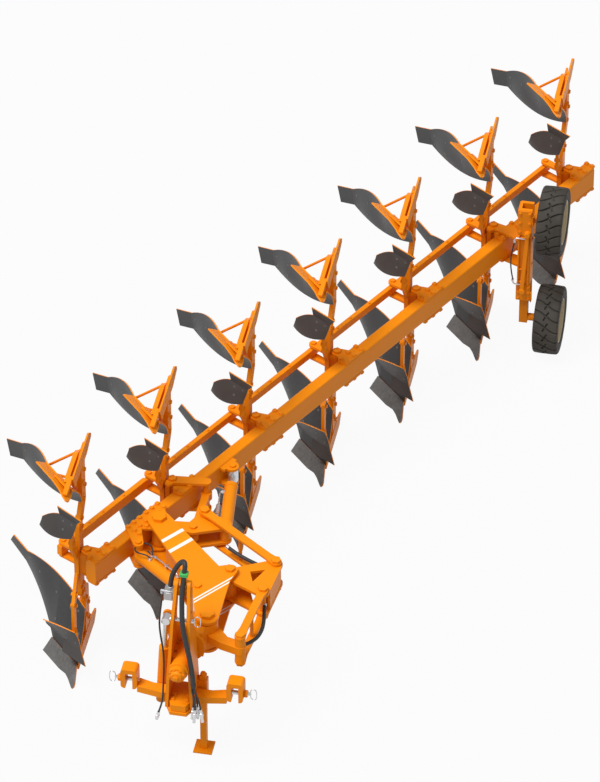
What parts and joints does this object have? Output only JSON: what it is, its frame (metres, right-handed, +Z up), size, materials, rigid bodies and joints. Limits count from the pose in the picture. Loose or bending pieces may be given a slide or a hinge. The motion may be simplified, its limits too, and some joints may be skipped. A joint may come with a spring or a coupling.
{
  "type": "moldboard plough",
  "caption": "Mounted reversible plough with upper and lower mouldboard bodies on a slanting beam, hitch headstock that turns it over, width and offset linkage, and depth wheels",
  "frame": {"origin": "On the floor below the middle between the two lower hitch pins", "axes": "+Z up, the plough travels towards -Y, +X to the right seen from the rear"},
  "size_m": [3.9744, 7.4874, 1.999],
  "materials": {
    "orange_paint": "gloss enamel",
    "mouldboard_steel": "satin charcoal",
    "share_steel": "forged, satin",
    "skimmer_steel": "satin brown grey",
    "bright_steel": "bright",
    "tyre_rubber": "matt",
    "rim_paint": "satin cream"
  },
  "bodies": {
    "headstock": {"headstock": "orange_paint", "hitch_arms": "orange_paint", "hitch_pins": "bright_steel", "turnover_barrel": "orange_paint", "turnover_rod": "bright_steel"},
    "parking_stand": {"parking_stand": "orange_paint"},
    "turnover_head": {"turnover_head": "orange_paint"},
    "swing_arm": {"swing_arm": "orange_paint"},
    "bell_crank": {"bell_crank": "orange_paint"},
    "head_link": {"head_link": "orange_paint"},
    "drag_link": {"drag_link": "orange_paint"},
    "lever": {"lever": "orange_paint"},
    "guide_link": {"guide_link": "orange_paint"},
    "beam": {"beam": "orange_paint", "beam_brackets": "orange_paint"},
    "control_bar": {"control_bar": "orange_paint"},
    "width_barrel": {"width_barrel": "orange_paint"},
    "width_rod": {"width_rod": "bright_steel"},
    "shift_barrel": {"shift_barrel": "orange_paint"},
    "shift_rod": {"shift_rod": "bright_steel"},
    "leg_1": {"leg_1": "orange_paint", "mouldboards_1": "mouldboard_steel", "shares_1": "share_steel", "skimmers_1": "skimmer_steel"},
    "leg_2": {"leg_2": "orange_paint", "mouldboards_2": "mouldboard_steel", "shares_2": "share_steel", "skimmers_2": "skimmer_steel", "guide_plates": "orange_paint"},
    "leg_3": {"leg_3": "orange_paint", "mouldboards_3": "mouldboard_steel", "shares_3": "share_steel", "skimmers_3": "skimmer_steel"},
    "leg_4": {"leg_4": "orange_paint", "mouldboards_4": "mouldboard_steel", "shares_4": "share_steel", "skimmers_4": "skimmer_steel"},
    "leg_5": {"leg_5": "orange_paint", "mouldboards_5": "mouldboard_steel", "shares_5": "share_steel", "skimmers_5": "skimmer_steel"},
    "leg_6": {"leg_6": "orange_paint", "mouldboards_6": "mouldboard_steel", "shares_6": "share_steel", "skimmers_6": "skimmer_steel", "wheel_column": "orange_paint"},
    "leg_7": {"leg_7": "orange_paint", "mouldboards_7": "mouldboard_steel", "shares_7": "share_steel", "skimmers_7": "skimmer_steel"},
    "wheel_leg_lower": {"wheel_leg_lower": "orange_paint"},
    "wheel_lower": {"tyre_lower": "tyre_rubber", "rim_lower": "rim_paint"},
    "wheel_leg_upper": {"wheel_leg_upper": "orange_paint"},
    "wheel_upper": {"tyre_upper": "tyre_rubber", "rim_upper": "rim_paint"}
  },
  "joints": [
    {"name": "turnover", "type": "hinge", "parent": "headstock", "child": "turnover_head", "pos_m": [0, 0.12, 1], "axis": [0, -1, 0], "range_deg": [0, 180]},
    {"name": "offset_swing", "type": "hinge", "parent": "turnover_head", "child": "swing_arm", "pos_m": [0.126, 0.336, 1], "axis": [0, 0, 1], "range_deg": [-12, 12]},
    {"name": "head_link_turn", "type": "hinge", "parent": "turnover_head", "child": "head_link", "pos_m": [0.42, 0.18, 1], "axis": [0, 0, 1], "range_deg": [-12.5, 12.5]},
    {"name": "bell_crank_turn", "type": "hinge", "parent": "swing_arm", "child": "bell_crank", "pos_m": [0.194, 0.897, 1], "axis": [0, 0, 1], "range_deg": [-12.5, 12.5]},
    {"name": "drag_link_turn", "type": "hinge", "parent": "bell_crank", "child": "drag_link", "pos_m": [0.525, 1.084, 1], "axis": [0, 0, 1], "range_deg": [-12.5, 12.5]},
    {"name": "lever_turn", "type": "hinge", "parent": "swing_arm", "child": "lever", "pos_m": [-0.48, 1.383, 1], "axis": [0, 0, 1], "range_deg": [-12.5, 12.5]},
    {"name": "width_swing", "type": "hinge", "parent": "lever", "child": "beam", "pos_m": [-0.48, 1.383, 1], "axis": [0, 0, 1], "range_deg": [0, 8.5]},
    {"name": "guide_link_turn", "type": "hinge", "parent": "lever", "child": "guide_link", "pos_m": [-0.21, 1.413, 1], "axis": [0, 0, 1], "range_deg": [-0.5, 9]},
    {"name": "leg_1_turn", "type": "hinge", "parent": "beam", "child": "leg_1", "pos_m": [-0.96946, 0.95238, 1], "axis": [0, 0, 1], "range_deg": [-9, 0.5]},
    {"name": "leg_2_turn", "type": "hinge", "parent": "beam", "child": "leg_2", "pos_m": [-0.47651, 1.87948, 1], "axis": [0, 0, 1], "range_deg": [-9, 0.5]},
    {"name": "leg_3_turn", "type": "hinge", "parent": "beam", "child": "leg_3", "pos_m": [0.01644, 2.80657, 1], "axis": [0, 0, 1], "range_deg": [-9, 0.5]},
    {"name": "leg_4_turn", "type": "hinge", "parent": "beam", "child": "leg_4", "pos_m": [0.50938, 3.73366, 1], "axis": [0, 0, 1], "range_deg": [-9, 0.5]},
    {"name": "leg_5_turn", "type": "hinge", "parent": "beam", "child": "leg_5", "pos_m": [1.00232, 4.66076, 1], "axis": [0, 0, 1], "range_deg": [-9, 0.5]},
    {"name": "leg_6_turn", "type": "hinge", "parent": "beam", "child": "leg_6", "pos_m": [1.49527, 5.58786, 1], "axis": [0, 0, 1], "range_deg": [-9, 0.5]},
    {"name": "leg_7_turn", "type": "hinge", "parent": "beam", "child": "leg_7", "pos_m": [1.98822, 6.51495, 1], "axis": [0, 0, 1], "range_deg": [-9, 0.5]},
    {"name": "control_bar_turn", "type": "hinge", "parent": "leg_1", "child": "control_bar", "pos_m": [-1.18946, 1.07238, 1], "axis": [0, 0, 1], "range_deg": [-0.5, 9]},
    {"name": "width_cylinder_turn", "type": "hinge", "parent": "lever", "child": "width_barrel", "pos_m": [0.031, 1.495, 1], "axis": [0, 0, 1], "range_deg": [-0.5, 9.5]},
    {"name": "width_rod_slide", "type": "slide", "parent": "width_barrel", "child": "width_rod", "axis": [-0.1137, 0.9935, 0], "range_m": [-0.01, 0.09]},
    {"name": "offset_cylinder_turn", "type": "hinge", "parent": "swing_arm", "child": "shift_rod", "pos_m": [-0.019, 0.661, 1], "axis": [0, 0, 1], "range_deg": [-3, 3]},
    {"name": "offset_barrel_slide", "type": "slide", "parent": "shift_rod", "child": "shift_barrel", "axis": [-0.7848, 0.6197, 0], "range_m": [-0.07, 0.07]},
    {"name": "wheel_leg_lower_slide", "type": "slide", "parent": "leg_6", "child": "wheel_leg_lower", "axis": [0, 0, 1], "range_m": [0, 0.355]},
    {"name": "wheel_lower_spin", "type": "hinge", "parent": "wheel_leg_lower", "child": "wheel_lower", "pos_m": [2.01127, 5.48086, 0.295], "axis": [1, 0, 0], "continuous": true},
    {"name": "wheel_leg_upper_slide", "type": "slide", "parent": "leg_6", "child": "wheel_leg_upper", "axis": [0, 0, 1], "range_m": [0, 0.355]},
    {"name": "wheel_upper_spin", "type": "hinge", "parent": "wheel_leg_upper", "child": "wheel_upper", "pos_m": [2.01127, 5.48086, 1.35], "axis": [1, 0, 0], "continuous": true},
    {"name": "stand_slide", "type": "slide", "parent": "headstock", "child": "parking_stand", "axis": [0, 0, 1], "range_m": [0, 0.3]}
  ],
  "couplings": [
    {"joint": "head_link_turn", "follows": "offset_swing", "ratio": 1},
    {"joint": "bell_crank_turn", "follows": "offset_swing", "ratio": -1},
    {"joint": "drag_link_turn", "follows": "offset_swing", "ratio": 1},
    {"joint": "lever_turn", "follows": "offset_swing", "ratio": -1},
    {"joint": "guide_link_turn", "follows": "width_swing", "ratio": 1},
    {"joint": "leg_1_turn", "follows": "width_swing", "ratio": -1},
    {"joint": "leg_2_turn", "follows": "width_swing", "ratio": -1},
    {"joint": "leg_3_turn", "follows": "width_swing", "ratio": -1},
    {"joint": "leg_4_turn", "follows": "width_swing", "ratio": -1},
    {"joint": "leg_5_turn", "follows": "width_swing", "ratio": -1},
    {"joint": "leg_6_turn", "follows": "width_swing", "ratio": -1},
    {"joint": "leg_7_turn", "follows": "width_swing", "ratio": -1},
    {"joint": "control_bar_turn", "follows": "width_swing", "ratio": 1},
    {"joint": "width_cylinder_turn", "follows": "width_swing", "ratio": 1.0312},
    {"joint": "width_rod_slide", "follows": "width_swing", "m_per_rad": 0.52228},
    {"joint": "offset_cylinder_turn", "follows": "offset_swing", "ratio": 0.11382},
    {"joint": "offset_barrel_slide", "follows": "offset_swing", "m_per_rad": 0.27918}
  ]
}
